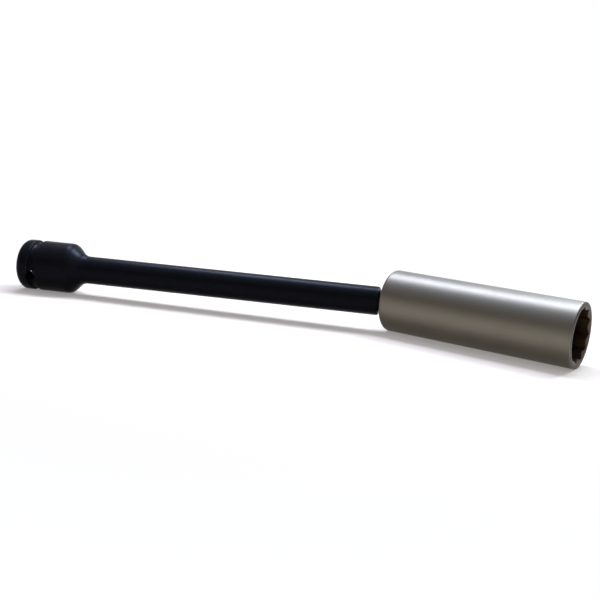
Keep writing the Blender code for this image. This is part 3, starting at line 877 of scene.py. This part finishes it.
room = bpy.data.worlds.new("studio_room")
room.use_nodes = True
tree = room.node_tree
tree.nodes.remove(tree.nodes["Background"])
direction = add(tree, "ShaderNodeTexCoord", {})
height = add(tree, "ShaderNodeSeparateXYZ", {0: direction.outputs["Generated"]})
overhead = add(
    tree,
    "ShaderNodeMapRange",
    {"Value": height.outputs["Z"], **CEILING_EDGE},
    interpolation_type="SMOOTHSTEP",
)
sides = add(tree, "ShaderNodeBackground", {"Color": linear(ROOM_COLOUR), "Strength": ROOM_STRENGTH})
ceiling = add(tree, "ShaderNodeBackground", {"Color": linear(CEILING_COLOUR), "Strength": CEILING_STRENGTH})
whole_room = add(
    tree, "ShaderNodeMixShader", {0: overhead.outputs[0], 1: sides.outputs[0], 2: ceiling.outputs[0]}
)
tree.links.new(whole_room.outputs[0], tree.nodes["World Output"].inputs["Surface"])
bpy.context.scene.world = room

# The long lamp, overhead and a little behind, draws one bright line along the top of each round piece.
LAMP_SIZE = (0.64, 0.26)
LAMP_LEFT = 0.24
LAMP_DISTANCE = 0.9
LAMP_LEAN = math.radians(19.0)
LAMP_POWER = 11.7
LAMP_COLOUR = "#d6e0ff"


def soft_lamp(name, size, power, colour, place, target):
    """A rectangular area lamp at a place, turned so that it faces the target with its long side level."""
    lamp = bpy.data.lights.new(name, "AREA")
    lamp.shape = "RECTANGLE"
    lamp.size, lamp.size_y = size
    lamp.energy = power
    lamp.color = linear(colour)[:3]
    piece = bpy.data.objects.new(name, lamp)
    piece.location = place
    piece.rotation_euler = (Vector(target) - Vector(place)).to_track_quat("-Z", "Y").to_euler()
    bpy.context.scene.collection.objects.link(piece)


soft_lamp(
    "long_lamp",
    LAMP_SIZE,
    LAMP_POWER,
    LAMP_COLOUR,
    (-LAMP_LEFT, LAMP_DISTANCE * math.sin(LAMP_LEAN), LAMP_DISTANCE * math.cos(LAMP_LEAN)),
    (-LAMP_LEFT, 0.0, 0.0),
)

# The small cool lamp, behind on the right, lights the bar's shoulder.
SIDE_SIZE = (0.22, 0.22)
SIDE_PLACE = (0.147, 0.475, 0.58)
SIDE_POWER = 7.0
SIDE_COLOUR = "#dcecff"

soft_lamp("side_lamp", SIDE_SIZE, SIDE_POWER, SIDE_COLOUR, SIDE_PLACE, bar_back * SHOULDER_LOW + PIVOT)


# Camera: a short telephoto lens, low and in front of the socket's open end, as the photograph was taken. It
# looks left and a little down, and is rolled by a few degrees.
CAMERA_PLACE = (0.23509, -0.34440, 0.08418)
CAMERA_TURN = math.radians(-32.83)
CAMERA_DROP = math.radians(9.755)
CAMERA_ROLL = math.radians(5.15)
CAMERA_LENS = 52.8
CAMERA_SENSOR = 36.0
CAMERA_NEAR = 0.01

look = np.array(
    [
        math.sin(CAMERA_TURN) * math.cos(CAMERA_DROP),
        math.cos(CAMERA_TURN) * math.cos(CAMERA_DROP),
        -math.sin(CAMERA_DROP),
    ]
)
level_right = np.array([math.cos(CAMERA_TURN), -math.sin(CAMERA_TURN), 0.0])
picture_right = spokes(CAMERA_ROLL, level_right, np.cross(level_right, look))
picture_up = np.cross(-look, picture_right)
camera_data = bpy.data.cameras.new("camera")
camera_data.lens = CAMERA_LENS
camera_data.sensor_width = CAMERA_SENSOR
camera_data.clip_start = CAMERA_NEAR
camera = bpy.data.objects.new("camera", camera_data)
camera.matrix_world = Matrix.Translation(CAMERA_PLACE) @ Matrix(
    np.stack([picture_right, picture_up, -look], axis=1).tolist()
).to_4x4()
bpy.context.scene.collection.objects.link(camera)
bpy.context.scene.camera = camera
bpy.context.scene.view_settings.view_transform = "Standard"
